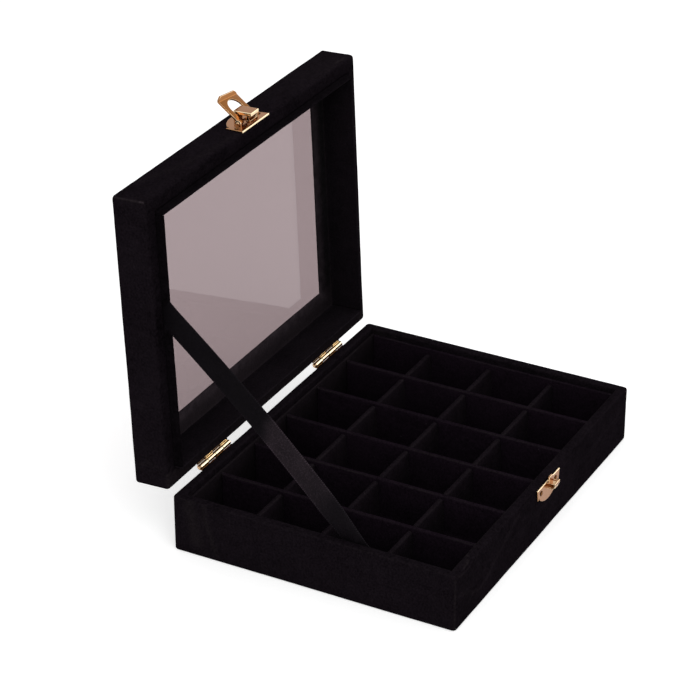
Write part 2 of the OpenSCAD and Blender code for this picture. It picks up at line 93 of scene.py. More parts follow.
class Finish:
    def __init__(self, owner, shader="Principled BSDF"):
        owner.use_nodes = True
        self.owner = owner
        self.tree = owner.node_tree
        self.shader = self.tree.nodes[shader]

    def node(self, kind, settings, values, out=0):
        made = self.tree.nodes.new(kind)
        for key, value in settings.items():
            setattr(made, key, value)
        self.feed(made, values)
        return Socket(self, made.outputs[out])

    def feed(self, made, values):
        for key, value in values.items():
            if isinstance(value, Socket):
                self.tree.links.new(value.plug, made.inputs[key])
            else:
                made.inputs[key].default_value = value

    def surface(self, **values):
        self.feed(self.shader, {key.replace("_", " "): value for key, value in values.items()})

    def coords(self, kind="Object"):
        return self.node("ShaderNodeTexCoord", {}, {}, kind)

    def attribute(self, name):
        return self.node("ShaderNodeAttribute", {"attribute_name": name}, {}, "Fac")

    def seen(self):                       # what the camera, a mirror or the glass shows, not what lights
        rays = [self.node("ShaderNodeLightPath", {}, {}, f"Is {kind} Ray")
                for kind in ("Camera", "Glossy", "Transmission")]
        return rays[0] + rays[1] + rays[2] > 0.5

    def noise(self, scale, detail=2.0, rough=0.5, at=None):
        return self.node("ShaderNodeTexNoise", {}, {"Vector": at or self.coords(), "Scale": scale,
                                                    "Detail": detail, "Roughness": rough})

    def stretched(self, at, scale, turn=(0, 0, 0)):
        return self.node("ShaderNodeMapping", {}, {"Vector": at, "Scale": scale, "Rotation": turn})

    def tint(self, colour, amount):
        return self.node("ShaderNodeVectorMath", {"operation": "SCALE"}, {0: colour, "Scale": amount})

    def mix(self, amount, first, second):
        return self.node("ShaderNodeMix", {"data_type": "RGBA"}, {0: amount, 6: first, 7: second}, 2)

    def bump(self, height, strength, distance):
        return self.node("ShaderNodeBump", {}, {"Height": height, "Strength": strength,
                                                "Distance": distance})


velvetLook = {"patchScale": 38.0, "mottleScale": 260.0, "mottle": 1.2, "grainScale": 950.0,
              "brushScale": 60.0, "brush": 0.7, "stretch": (1.0, 1.0, 4.0), "turn": (0.3, 0.2, 0.5),
              "pileScale": 700.0, "warm": (1.10, 0.94, 1.06), "raised": (1.13, 0.87, 1.03),
              "greyed": 1.4, "lintScale": 95.0, "lintSize": 0.022, "lintFrom": 0.86,
              "lint": (0.06, 0.055, 0.058, 1), "roughness": 0.95, "relief": 0.3, "depth": 0.0003,
              "sheenRoughness": 0.5, "sheenTint": (0.75, 0.62, 0.75, 1)}


def velvet(name, tone, patch, grain, fold, sheen):
    p = velvetLook
    f = Finish(bpy.data.materials.new(name))
    patches = f.noise(p["patchScale"], 4.0, 0.6)
    brushed = f.noise(p["brushScale"], 3.0, 0.6, f.stretched(f.coords(), p["stretch"], p["turn"]))
    mottle = f.noise(p["mottleScale"], 3.0, 0.6)
    fine = f.noise(p["grainScale"], 2.0, 0.7)
    napLight = f.attribute("nap")
    shade = 1.0 + patch * (patches - 0.5) + p["brush"] * patch * (brushed - 0.5)
    shade = shade + p["mottle"] * patch * (mottle - 0.5)
    # nap lightens or darkens the pile: painted light and shade, with some nap brushed up
    shade = shade + fold * napLight * (0.6 + 0.8 * fine) + grain * (fine - 0.5)
    cells = {"Vector": f.coords(), "Scale": p["lintScale"]}
    dot = f.node("ShaderNodeTexVoronoi", {}, cells, "Distance") < p["lintSize"]
    chance = f.node("ShaderNodeSeparateColor", {}, {0: f.node("ShaderNodeTexVoronoi", {}, cells, "Color")})
    lint = dot * (chance > p["lintFrom"])
    warm = [a * b for a, b in zip(tone, p["warm"])]     # pile that leans away shows a redder black
    pile = f.mix(f.noise(p["pileScale"], 2.0, 0.6), (*tone, 1), (*warm, 1))
    grey = sum(tone) / 3
    raised = [grey * share for share in p["raised"]]
    pile = f.mix(p["greyed"] * napLight, pile, (*raised, 1))      # and where nap is high a greyer one: partly raised pile, partly painted light
    colour = f.mix(lint, f.tint(pile, shade), p["lint"])
    f.surface(Base_Color=colour, Roughness=p["roughness"], Specular_IOR_Level=0.0,
              Normal=f.bump(fine + 0.5 * mottle, p["relief"], p["depth"]),
              Sheen_Weight=sheen, Sheen_Roughness=p["sheenRoughness"], Sheen_Tint=p["sheenTint"])
    return f.owner


satinLook = {"selvedge": 31.4,                     # the square of its distance from the middle
             "stitchScale": 0.3, "stitchFrom": 0.62, "sway": 1.5, "threads": (5.0, 0.35, 1.0),
             "grainScale": 1100.0, "grain": 1.2, "wornScale": 160.0, "worn": 0.5,
             "sparkleScale": 1500.0, "sparkleFrom": 0.58, "sparkle": 0.8, "level": 0.9, "litLevel": 0.35,
             "stitch": 0.9, "litStitch": 1.1, "roughness": 0.5, "relief": 0.2, "depth": 0.0001,
             "gloss": 0.01, "sheen": 0.002, "sheenRoughness": 0.4, "sheenTint": (0.7, 0.62, 0.7, 1)}


def satin(name, tone, litTone):
    p = satinLook
    f = Finish(bpy.data.materials.new(name))
    uv = f.coords("UV")                   # millimetres across and along the ribbon
    across = f.node("ShaderNodeSeparateXYZ", {}, {0: uv})
    selvedge = across * across > p["selvedge"]
    bands = {"wave_type": "BANDS", "bands_direction": "Y", "wave_profile": "SIN"}
    stitch = f.node("ShaderNodeTexWave", bands, {"Vector": uv, "Scale": p["stitchScale"],
                                                 "Distortion": p["sway"], "Detail": 1.0}) > p["stitchFrom"]
    threads = f.noise(1.0, 2.0, 0.6, f.stretched(uv, p["threads"]))
    grain = f.noise(p["grainScale"], 2.0, 0.7)
    worn = f.noise(p["wornScale"], 3.0)
    lit = f.attribute("nap")
    sparkle = f.noise(p["sparkleScale"], 1.0) > p["sparkleFrom"]
    shade = p["level"] + 0.5 * (threads - 0.5) + p["worn"] * (worn - 0.5) + p["grain"] * (grain - 0.5)
    shade = shade + (p["stitch"] + p["litStitch"] * lit) * selvedge * stitch
    shade = shade + lit * (p["litLevel"] + 0.5 * worn + 0.5 * grain + p["sparkle"] * sparkle)
    colour = f.mix(0.5 * lit, (*tone, 1), (*litTone, 1))
    f.surface(Base_Color=f.tint(colour, shade), Roughness=p["roughness"] + 0.1 * (worn - 0.5),
              Normal=f.bump(threads, p["relief"], p["depth"]), Specular_IOR_Level=p["gloss"],
              Sheen_Weight=p["sheen"], Sheen_Roughness=p["sheenRoughness"], Sheen_Tint=p["sheenTint"])
    return f.owner


platingLook = {"smearScale": 420.0, "brushScale": 900.0, "stretch": (1.0, 9.0, 9.0), "speckScale": 2600.0,
               "speckFrom": 0.66, "smears": 0.75, "specks": 0.35, "tarnish": 0.6, "roughness": 0.08,
               "smearRough": 0.14, "brushRough": 0.05, "relief": 0.15, "depth": 0.00006}


def plating(name, tone, deep, shadeAndSoot, highlight):
    p = platingLook
    f = Finish(bpy.data.materials.new(name))
    smears = f.noise(p["smearScale"], 4.0, 0.6)
    brushed = f.noise(p["brushScale"], 2.0, 0.6, f.stretched(f.coords(), p["stretch"]))
    specks = f.noise(p["speckScale"], 2.0) > p["speckFrom"]
    amount = p["smears"] * smears + p["specks"] * specks
    colour = f.mix(amount * p["tarnish"], tone, deep)
    # painted shade on the hinges, and on the nails darker at the head's rim and a little all over
    colour = f.mix(f.attribute("grimeAndShade") * (0.75 + 0.5 * smears), colour, shadeAndSoot)
    colour = f.mix(f.attribute("glint") * (0.7 + 0.4 * smears), colour, highlight)     # painted highlight, mostly along edges
    rough = p["roughness"] + p["smearRough"] * smears + p["brushRough"] * brushed
    f.surface(Base_Color=colour, Metallic=1.0, Roughness=rough,
              Normal=f.bump(0.5 * brushed + 0.5 * smears, p["relief"], p["depth"]))
    return f.owner


glassLook = {"filmScale": 14.0, "roughness": 0.02, "bending": 1.22}


def paneGlass(name, tone):
    f = Finish(bpy.data.materials.new(name))
    film = f.noise(glassLook["filmScale"], 3.0)
    f.surface(Base_Color=tone, Roughness=glassLook["roughness"] * film, IOR=glassLook["bending"],
              Transmission_Weight=1.0)
    return f.owner


outerVelvet = velvet("outer_velvet", (0.0062, 0.0049, 0.0062), 0.6, 2.1, 0.5, 0.003)
# the linings are one velvet in lit and shaded copies, each toned lighter or darker for how light falls there
lidLining = velvet("lid_lining", (0.0069, 0.0058, 0.0070), 0.5, 1.6, 0.6, 0.003)
trayLining = velvet("tray_lining", (0.0072, 0.0058, 0.0068), 0.5, 1.6, 0.6, 0.003)
liningVelvet = velvet("lining_velvet", (0.0080, 0.0054, 0.0082), 0.5, 1.8, 0.6, 0.003)
crossVelvet = velvet("cross_velvet", (0.0072, 0.0056, 0.0071), 0.5, 1.8, 0.6, 0.003)
borderVelvet = velvet("border_velvet", (0.0054, 0.0051, 0.0054), 0.8, 1.8, 1.0, 0.004)
blackSatin = satin("black_satin", (0.0050, 0.0041, 0.0052), (0.0052, 0.0039, 0.0048))
roseBrass = plating("rose_brass", (0.33, 0.135, 0.04, 1), (0.22, 0.08, 0.018, 1),
                    (0.04, 0.018, 0.007, 1), (0.95, 0.76, 0.50, 1))
clearGlass = paneGlass("clear_glass", (0.303, 0.237, 0.246, 1))
print("finishes made")


# mesh tools

def block(low, high):
    bm = bmesh.new()
    bmesh.ops.create_cube(bm, size=1.0)
    bmesh.ops.scale(bm, vec=[b - a for a, b in zip(low, high)], verts=bm.verts)
    bmesh.ops.translate(bm, vec=[(a + b) / 2 for a, b in zip(low, high)], verts=bm.verts)
    return bm


def pick(geom, kind):
    return [g for g in geom if isinstance(g, kind)]


def lowEnd(edge):
    return min(v.co.z for v in edge.verts)


def highEnd(edge):
    return max(v.co.z for v in edge.verts)


def within(edge, w, d):
    return abs(edge.verts[0].co.x) < w and abs(edge.verts[0].co.y) < d


def edgesAlong(bm, axis, longer=0.0):
    found = []
    for e in bm.edges:
        run = e.verts[1].co - e.verts[0].co
        if run.length > longer and abs(run[axis]) > 0.999 * run.length:
            found.append(e)
    return found


def sharpEdges(bm, angle=1.0):
    return [e for e in bm.edges if e.is_manifold and e.calc_face_angle(0.0) > angle]


def glintFaces(bm, faces, amount):
    bm.faces.index_update()
    picked = [f.index for f in faces]         # a new layer drops the faces held so far
    layer = bm.faces.layers.float.get("glint") or bm.faces.layers.float.new("glint")
    bm.faces.ensure_lookup_table()
    for n in picked:
        bm.faces[n][layer] = amount


def soften(bm, edges, radius, segments=4, glint=0.0):
    made = bmesh.ops.bevel(bm, geom=edges, offset=radius, offset_type="OFFSET", segments=segments,
                           profile=0.5, affect="EDGES", material=-1)["faces"]
    if glint:
        glintFaces(bm, made, glint)


def divide(bm, axis, longer, cuts):
    bmesh.ops.subdivide_edges(bm, edges=edgesAlong(bm, axis, longer), cuts=cuts, use_grid_fill=True)


def divideSides(bm, plan):                    # for X, Y and Z: edges longer than this, and the cuts in them
    for axis, (longer, cuts) in enumerate(plan):
        divide(bm, axis, longer, cuts)


def insetFaces(bm, faces, thickness):
    bmesh.ops.inset_individual(bm, faces=faces, thickness=thickness, use_even_offset=True)


def bridgeHoles(bm):
    bmesh.ops.bridge_loops(bm, edges=[e for e in bm.edges if e.is_boundary])


def cutThrough(bm, rimWidth):                 # an opening from top to bottom
    caps = [f for f in bm.faces if abs(f.normal.z) > 0.9]
    insetFaces(bm, caps, rimWidth)
    bmesh.ops.delete(bm, geom=caps, context="FACES_ONLY")
    bridgeHoles(bm)


def between(value, low, high):
    t = min(max((value - low) / (high - low), 0.0), 1.0)
    return t * t * (3 - 2 * t)


def frontward(v):
    return between(-v.normal.y, 0.3, 0.9)


def toPolyline(u, v, points):
    best = 1e9
    for (ax, ay), (bx, by) in zip(points, points[1:]):
        dx, dy = bx - ax, by - ay
        t = min(max(((u - ax) * dx + (v - ay) * dy) / (dx * dx + dy * dy), 0.0), 1.0)
        best = min(best, math.hypot(u - ax - t * dx, v - ay - t * dy))
    return best


# cloth over a board: slow waves, fine puckers, pressed folds with a painted highlight along each, and rounded
# edges painted lighter, for nap brushed up there and for painted sheen
cloth = {"waveSpan": 31.0, "puckerSpan": 8.0, "patchSpan": 17.0, "roundFrom": 0.78, "roundTo": 0.985,
         "facing": 0.7}
sides = {"front": (1, -1), "back": (1, 1), "left": (0, -1), "right": (0, 1), "top": (2, 1), "under": (2, -1)}


def layCloth(bm, wave=0.12, pucker=0.05, edge=1.0, seed=0.0, creases=()):
    bm.normal_update()
    nap = bm.verts.layers.float.new("nap")
    moves = []
    for v in bm.verts:
        n = v.normal
        shift = wave * noise.noise(v.co / cloth["waveSpan"] + Vector((seed, 2 * seed, 0)))
        shift += pucker * noise.noise(v.co / cloth["puckerSpan"] + Vector((3 * seed, 0, seed)))
        steep = max(abs(n.x), abs(n.y), abs(n.z))
        # rounded edges are lighter: brushed-up nap and painted sheen
        napLight = edge * (1 - between(steep, cloth["roundFrom"], cloth["roundTo"]))
        napLight *= 0.65 + 0.7 * noise.noise(v.co / cloth["patchSpan"])
        for side, line, width, height, light in creases:
            axis, sign = sides[side]
            if n[axis] * sign < cloth["facing"]:
                continue
            flat = [v.co[a] for a in (0, 1, 2) if a != axis]
            ridge = math.exp(-(toPolyline(*flat, line) / width) ** 2)
            shift += height * ridge
            napLight += light * ridge
        v[nap] = napLight
        moves.append((v, n * shift))
    for v, move in moves:
        v.co += move


def gather(parts):
    whole = bmesh.new()
    for bm, place in parts:
        if place:
            bmesh.ops.transform(bm, matrix=place, verts=bm.verts)
        bmesh.ops.recalc_face_normals(bm, faces=bm.faces)
        mesh = bpy.data.meshes.new("part")
        bm.to_mesh(mesh)
        bm.free()
        whole.from_mesh(mesh)
        bpy.data.meshes.remove(mesh)
    return whole


def finishPiece(name, bm, body, material, nodes, place=None, crease=38.0):
    bmesh.ops.recalc_face_normals(bm, faces=bm.faces)
    if place:
        bmesh.ops.transform(bm, matrix=place, verts=bm.verts)
    bmesh.ops.scale(bm, vec=(0.001, 0.001, 0.001), verts=bm.verts)      # to metres
    mesh = bpy.data.meshes.new(name)
    bm.to_mesh(mesh)
    bm.free()
    mesh.shade_smooth()
    mesh.set_sharp_from_angle(angle=math.radians(crease))
    mesh.materials.append(material)
    obj = bpy.data.objects.new(name, mesh)
    scene.collection.objects.link(obj)
    if body:
        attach(obj, body)
    if material is roseBrass:
        obj.modifiers.new("flats", "WEIGHTED_NORMAL").keep_sharp = True
    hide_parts(*nodes)
    return obj


# base: four boards under one wrap, with the cloth folded at the corners

baseWrap = {
    "cuts": [(100, 239), (100, 179), (10, 29)], "edgeNapAndSheen": 0.5, "seed": 1.0, "frontShade": -0.3,
    "creases": [                              # side, line on it, width, height, light
        ("front", [(-99, 19), (-93, 17.5), (-84, 12.5), (-75, 9.5), (-68, 10.5), (-60, 15), (-46, 21),
                   (-33, 26)], 1.3, 0.26, 0.7),
        ("top", [(-91, -74.4), (-84.7, -73.9), (-80, -70.4)], 0.35, 0.0, 1.6),
        ("front", [(-40, 15.5), (16, 15.2), (62, 17.2), (98, 21.0)], 1.1, -0.14, 0.35),
        ("front", [(-97.5, 29), (-90.9, 27.3), (-86, 28.4)], 0.45, 0.16, 1.6),
        ("front", [(-99.41, 1), (-99.41, 28.5)], 0.26, 0.1, 0.9),
        ("top", [(-94, -70.4), (94, -70.4)], 0.3, 0.0, 1.5),
        ("top", [(-96, -71.9), (96, -71.9)], 0.4, 0.0, 0.6),
        ("left", [(57.4, 28), (57.0, 21.7), (54.0, 12), (51.5, 4)], 1.5, 0.22, 0.7),
        ("left", [(66, 27), (63.5, 16), (62.2, 9)], 3.6, 0.2, 0.9),
        ("right", [(-66, 27), (-60, 15), (-61, 4)], 1.1, 0.2, 0.6),
        ("back", [(-88, 4), (-30, 9), (22, 8), (90, 11)], 1.2, -0.15, 0.4)]}


def wrapBase():
    w, d, h = case["width"] / 2, case["depth"] / 2, case["baseHeight"]
    bm = block((-w, -d, 0), (w, d, h))
    cutThrough(bm, case["wall"])
    soften(bm, [e for e in edgesAlong(bm, 2, 20) if abs(e.verts[0].co.x) > w - 1], case["corner"])
    rim = [e for e in sharpEdges(bm) if lowEnd(e) > h - 0.1]
    foot = [e for e in sharpEdges(bm) if highEnd(e) < 0.1 and not within(e, w - 3, d - 3)]
    soften(bm, rim + foot, case["edge"])
    divideSides(bm, baseWrap["cuts"])
    layCloth(bm, edge=baseWrap["edgeNapAndSheen"], seed=baseWrap["seed"], creases=baseWrap["creases"])
    nap = bm.verts.layers.float["nap"]
    # the front face is painted a little darker: painted shade
    for v in bm.verts:
        v[nap] += baseWrap["frontShade"] * frontward(v)
    walls = ["base_front_wall", "base_back_wall", "base_left_wall", "base_right_wall"]
    finishPiece("base_wrap", bm, "base", outerVelvet, walls)


# lid: boards and top panel under one wrap, cut out for the window

lidWrap = {
    "wall": 8.0, "panel": 2.0, "windowIn": 16.9, "windowEdge": 0.9, "rimEdge": 1.8,
    "cuts": [(100, 239), (80, 179), (10, 17)], "edgeNapAndSheen": 0.5, "seed": 4.0,
    "rimPaintedShade": -0.6, "backPaintedLight": 1.0, "rimFade": (1.5, 0.3), "farPaintedLight": 0.35, "farFade": (10, 90),
    "revealPaintedLight": 9.0, "revealPatch": 5.0, "revealOut": 0.5,
    "creases": [
        ("front", [(-99.41, 31), (-99.41, 48.2)], 0.22, 0.1, 2.6),
        ("front", [(-99.41, 31.5), (-99.41, 34)], 0.4, 0.0, 3.4),
        ("front", [(-80, 46), (-60, 39), (-38, 34), (-14, 33)], 2.2, -0.14, 0.4),
        ("front", [(85, 33.4), (90, 32.6), (93.5, 33.0)], 0.5, 0.18, 2.2),
        ("front", [(98.2, 32.4), (98.5, 33.6)], 0.5, 0.1, 2.6),
        ("under", [(93.9, -66), (93.9, 66)], 0.4, 0.0, 0.9),
        ("left", [(64, 33), (62, 41), (64.5, 47)], 1.0, 0.18, 0.5),
        ("top", [(-97, -30), (-88, 6), (-86, 40)], 1.4, 0.15, 0.4),
        ("back", [(-85, 41), (-20, 38), (60, 40.5)], 1.2, -0.12, 0.4)]}


def wrapLid():
    p = lidWrap
    w, d = case["width"] / 2, case["depth"] / 2
    bm = block((-w, -d, lidRim), (w, d, lidTop))
    top = [f for f in bm.faces if f.normal.z > 0.9]
    under = [f for f in bm.faces if f.normal.z < -0.9]
    insetFaces(bm, top, p["windowIn"])
    bmesh.ops.delete(bm, geom=top, context="FACES_ONLY")
    insetFaces(bm, under, p["wall"])
    raised = bmesh.ops.extrude_face_region(bm, geom=under)["geom"]
    bmesh.ops.translate(bm, vec=(0, 0, case["lidHeight"] - p["panel"]), verts=pick(raised, BMVert))
    bmesh.ops.delete(bm, geom=[f for f in under if f.is_valid], context="FACES_ONLY")
    ceiling = pick(raised, BMFace)
    insetFaces(bm, ceiling, p["windowIn"] - p["wall"])
    bmesh.ops.delete(bm, geom=ceiling, context="FACES_ONLY")
    bridgeHoles(bm)
    soften(bm, [e for e in edgesAlong(bm, 2, 18) if abs(e.verts[0].co.x) > w - 1], case["corner"])
    sharp = sharpEdges(bm)
    rim = [e for e in sharp if highEnd(e) < lidRim + 0.1]
    crown = [e for e in sharp if lowEnd(e) > lidTop - 0.1 and not within(e, w - 10, d - 10)]
    soften(bm, rim, p["rimEdge"])
    soften(bm, [e for e in crown if e.is_valid], case["edge"])
    window = [e for e in sharpEdges(bm) if lowEnd(e) > lidTop - 0.1 and within(e, w - 10, d - 10)]
    soften(bm, window, p["windowEdge"])
    divideSides(bm, p["cuts"])
    layCloth(bm, edge=p["edgeNapAndSheen"], seed=p["seed"], creases=p["creases"])
    nap = bm.verts.layers.float["nap"]
    reveal = p["windowIn"] - p["revealOut"]
    for v in bm.verts:
        if abs(v.co.x) < w - reveal and abs(v.co.y) < d - reveal:      # the window's cut edge is painted light, as if lit from behind
            v[nap] = p["revealPaintedLight"] * (0.6 + 0.8 * noise.noise(v.co / p["revealPatch"]))
            continue
        # painted shade along the lid's rim, painted light along its back rim by the hinge, and painted light on
        # the far end of the front face
        rimShade = p["rimPaintedShade"] if v.co.y < d - p["wall"] - 1 else p["backPaintedLight"]
        v[nap] += rimShade * between(v.co.z, *[lidRim + rise for rise in p["rimFade"]])
        v[nap] += p["farPaintedLight"] * frontward(v) * between(v.co.x, *p["farFade"])
    nodes = ["lid_front_wall", "lid_back_wall", "lid_left_wall", "lid_right_wall", "lid_top_panel"]
    finishPiece("lid_wrap", bm, "lid", outerVelvet, nodes, openLid)


wrapBase()
wrapLid()
print("wraps made")


# liners and dividers: card strips in velvet with a round edge

tray = {"liner": 1.5, "linerTop": 27.0, "lidLinerLow": 26.9, "lidLinerDrop": 4.5, "linerPlay": 0.3,
        "linerWave": 0.1, "roundEnd": 2.6, "floor": 3.0, "pad": 1.2, "padCuts": [(100, 74), (100, 55)],
        "rows": 6, "columns": 4, "rowPitch": 32.2, "long": 2.4, "longTop": 25.8, "cross": 2.6, "crossTop": 25.0,
        "lidCrestLight": {"front": 0.2, "left": -0.4, "back": 0.4, "right": 0.4},
        "lidShade": {"front": -0.7, "left": -0.8, "back": 0.0, "right": 0.0},
        "seeds": {"liner": 10.0, "lid": 15.0, "long": 20.0, "cross": 30.0, "pad": 55.0}}
strip = {"step": 2.2, "rows": 7, "round": 0.49, "pucker": 0.07, "sag": 0.22, "sagDepth": 4.0,
         "deepShade": 0.45, "deepFrom": 3.0, "deepTo": 22.0}
innerW = case["width"] / 2 - case["wall"]
innerD = case["depth"] / 2 - case["wall"]
lidInnerW = case["width"] / 2 - lidWrap["wall"]
lidInnerD = case["depth"] / 2 - lidWrap["wall"]
trayW = innerW - tray["liner"]
trayD = innerD - tray["liner"]


def velvetStrip(low, high, seed, roundTop=True, wave=0.16, roundEnd=0.0, crestNapAndSheen=0.9):
    p = strip
    along = 0 if high[0] - low[0] > high[1] - low[1] else 1
    across = 1 - along
    thick = high[across] - low[across]
    bm = block(low, high)
    edgeZ = high[2] if roundTop else low[2]
    if roundEnd:
        ends = [e for e in edgesAlong(bm, across) if abs(e.verts[0].co.z - edgeZ) < 0.01]
        soften(bm, ends, roundEnd, 5)
    crest = [e for e in sharpEdges(bm) if abs(e.verts[0].co[across] - e.verts[1].co[across]) < 0.001
             and min(abs(v.co.z - edgeZ) for v in e.verts) < max(roundEnd - 0.01, 0.01)]
    soften(bm, crest, thick * p["round"], 4)
    length = high[along] - low[along]
    divide(bm, along, length * 0.6, max(int(length / p["step"]), 4))
    divide(bm, 2, (high[2] - low[2]) * 0.5, p["rows"])
    layCloth(bm, wave=wave, pucker=p["pucker"], edge=crestNapAndSheen, seed=seed)
    nap = bm.verts.layers.float["nap"]
    for v in bm.verts:                    # the crest sags a little between its ends
        crestward = between(abs(v.co.z - edgeZ), p["sagDepth"], 0.0)
        run = (v.co[along] - low[along]) / length
        v.co.z -= (1 if roundTop else -1) * crestward * p["sag"] * math.sin(math.pi * run)
        # and painted darker further down from its crest: painted shade
        v[nap] -= p["deepShade"] * between(abs(v.co.z - edgeZ), p["deepFrom"], p["deepTo"])
    return bm


def linerPlans(w, d):
    t = tray["liner"]
    return {"front": ((-w, -d), (w, t - d)), "back": ((-w, d - t), (w, d)),
            "left": ((-w, t - d), (t - w, d - t)), "right": ((w - t, t - d), (w, d - t))}


def layLiners():
    low, high = tray["floor"], tray["linerTop"]
    lidLow, lidHigh = tray["lidLinerLow"], lidTop - tray["lidLinerDrop"]
    for n, (side, (a, b)) in enumerate(linerPlans(innerW, innerD).items()):
        bm = velvetStrip((*a, low), (*b, high), tray["seeds"]["liner"] + n, wave=tray["linerWave"])
        lining = trayLining if side in ("front", "back") else liningVelvet
        finishPiece(f"tray_{side}_lining", bm, "base", lining, [f"tray_{side}_liner"])
    # lid liners: each side's crest is painted lighter or darker, and the front and left liners are painted
    # darker near their lower edge
    for n, (side, (a, b)) in enumerate(linerPlans(lidInnerW, lidInnerD).items()):
        bm = velvetStrip((*a, lidLow), (*b, lidHigh), tray["seeds"]["lid"] + n, roundTop=False,
                         wave=tray["linerWave"], crestNapAndSheen=tray["lidCrestLight"][side])
        nap = bm.verts.layers.float["nap"]
        for v in bm.verts:                    # the standing edge draws in, clear of the base
            drawn = tray["linerPlay"] * between(v.co.z, lidRim + 1.2, lidRim - 0.2)
            v[nap] += tray["lidShade"][side] * between(v.co.z, lidRim + 2.0, lidRim)
            for axis, limit in ((0, lidInnerW), (1, lidInnerD)):
                if abs(v.co[axis]) > limit - 0.4:
                    v.co[axis] -= math.copysign(drawn, v.co[axis])
        finishPiece(f"lid_{side}_lining", bm, "lid", lidLining, [f"lid_{side}_liner"],
                    openLid)


def layDividers():
    z = tray["floor"] + tray["pad"]
    half = tray["long"] / 2
    xs = [(i - tray["rows"] / 2) * tray["rowPitch"] for i in range(1, tray["rows"])]
    for i, x in enumerate(xs, 1):
        bm = velvetStrip((x - half, -trayD, z), (x + half, trayD, tray["longTop"]), tray["seeds"]["long"] + i)
        finishPiece(f"long_divider_{i}_velvet", bm, "base", liningVelvet,
                    [f"long_divider_{i}"])
    starts = [-trayW] + [x + half for x in xs]
    ends = [x - half for x in xs] + [trayW]
    pitch = (2 * trayD + tray["cross"]) / tray["columns"]
    thick = tray["cross"] / 2
    for r, (a, b) in enumerate(zip(starts, ends), 1):
        for c in range(1, tray["columns"]):
            y = (c - tray["columns"] / 2) * pitch
            bm = velvetStrip((a, y - thick, z), (b, y + thick, tray["crossTop"]),
                             tray["seeds"]["cross"] + 3 * r + c, roundEnd=tray["roundEnd"])
            finishPiece(f"cross_divider_{r}_{c}_velvet", bm, "base", crossVelvet,
                        [f"cross_divider_{r}_{c}"])


def layPad():
    low, high = tray["floor"], tray["floor"] + tray["pad"]
    bm = block((-trayW, -trayD, low), (trayW, trayD, high))
    divideSides(bm, tray["padCuts"])
    layCloth(bm, wave=0.1, pucker=0.06, edge=0.0, seed=tray["seeds"]["pad"])
    finishPiece("tray_floor_velvet", bm, "base", liningVelvet, ["tray_floor_pad"])


layLiners()
layDividers()
layPad()
print("tray made")


# glass border: a padded velvet frame that rolls in to the pane

border = {"in": 13.5, "low": 44.4, "high": 45.34, "roll": 0.9, "mitreCuts": 15, "cuts": [(100, 79), (80, 59)],
          "seed": 61.0, "fuzzLight": 0.8, "fuzzLightReach": (0.5, 8.0), "hingeLight": 3.0, "rightLight": 2.0,
          "seam": 1.2, "seamIn": 1.9, "seamWidth": 0.5, "patch": 4.0, "lit": 1.5, "litFade": (-75, 60)}


def layBorder():
    p = border
    bm = block((-lidInnerW, -lidInnerD, p["low"]), (lidInnerW, lidInnerD, p["high"]))
    cutThrough(bm, p["in"])
    soften(bm, [e for e in sharpEdges(bm) if highEnd(e) < p["low"] + 0.01
                and within(e, lidInnerW - 5, lidInnerD - 5)], p["roll"])
    mitres = [e for e in bm.edges if min(abs((e.verts[1].co - e.verts[0].co)[a]) for a in (0, 1)) > 5]
    bmesh.ops.subdivide_edges(bm, edges=mitres, cuts=p["mitreCuts"], use_grid_fill=True)
    divideSides(bm, p["cuts"])
    layCloth(bm, wave=0.1, pucker=0.08, edge=0.4, seed=p["seed"])
    nap = bm.verts.layers.float["nap"]
    windowW, windowD = lidInnerW - p["in"], lidInnerD - p["in"]
    # painted light: the border is lighter towards the window, most on the hinge side towards the left and on
    # the right side, with a lighter line near its outer edge at the seam; the hinge side is also painted
    # lighter all over
    for v in bm.verts:
        out = max(abs(v.co.x) - lidInnerW, abs(v.co.y) - lidInnerD) + p["in"]      # from window to liner
        hingeward = between(v.co.y, windowD - 1, windowD + 1)
        leftward = 1 - 0.5 * between(v.co.x, *p["litFade"])
        rightward = between(v.co.x, windowW - 1, windowW + 1)
        near = p["fuzzLight"] * (1 + p["hingeLight"] * hingeward * leftward + p["rightLight"] * rightward)
        near *= 1 - between(out, *p["fuzzLightReach"])
        seam = p["seam"] * math.exp(-((out - p["in"] + p["seamIn"]) / p["seamWidth"]) ** 2)
        v[nap] += (near + seam) * (0.7 + 0.7 * noise.noise(v.co / p["patch"]))
        v[nap] += p["lit"] * hingeward * leftward
    finishPiece("glass_border_velvet", bm, "lid", borderVelvet, ["glass_border"], openLid)


layBorder()
for node, material in (("glass_pane", clearGlass), ("base_bottom_panel", outerVelvet)):
    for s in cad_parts[node].material_slots:
        s.material = material
print("window made")


# brass hardware: stamped sheet, bent strips, rolled knuckles and round nails

brass = {"edge": 0.2, "edgeShare": 0.25, "weld": 0.001,
         "highlight": 1.0, "worn": 0.9, "bendGlint": 0.5, "pinHead": 0.4}       # how far the painted highlight shows; worn sets it on strip edges and sides


def spinPoint(bm, vert, centre, angle, steps):
    last = bmesh.ops.spin(bm, geom=[vert], cent=centre, axis=(0, 0, 1), angle=math.radians(angle),
                          steps=steps, use_merge=False)["geom_last"]
    return pick(last, BMVert)[0]


def thicken(bm, thickness):
    face = bmesh.ops.contextual_create(bm, geom=bm.edges[:])["faces"]
    grown = bmesh.ops.extrude_face_region(bm, geom=face)["geom"]
    bmesh.ops.translate(bm, vec=(0, 0, thickness), verts=pick(grown, BMVert))


def weld(bm):
    bmesh.ops.remove_doubles(bm, verts=bm.verts, dist=brass["weld"])


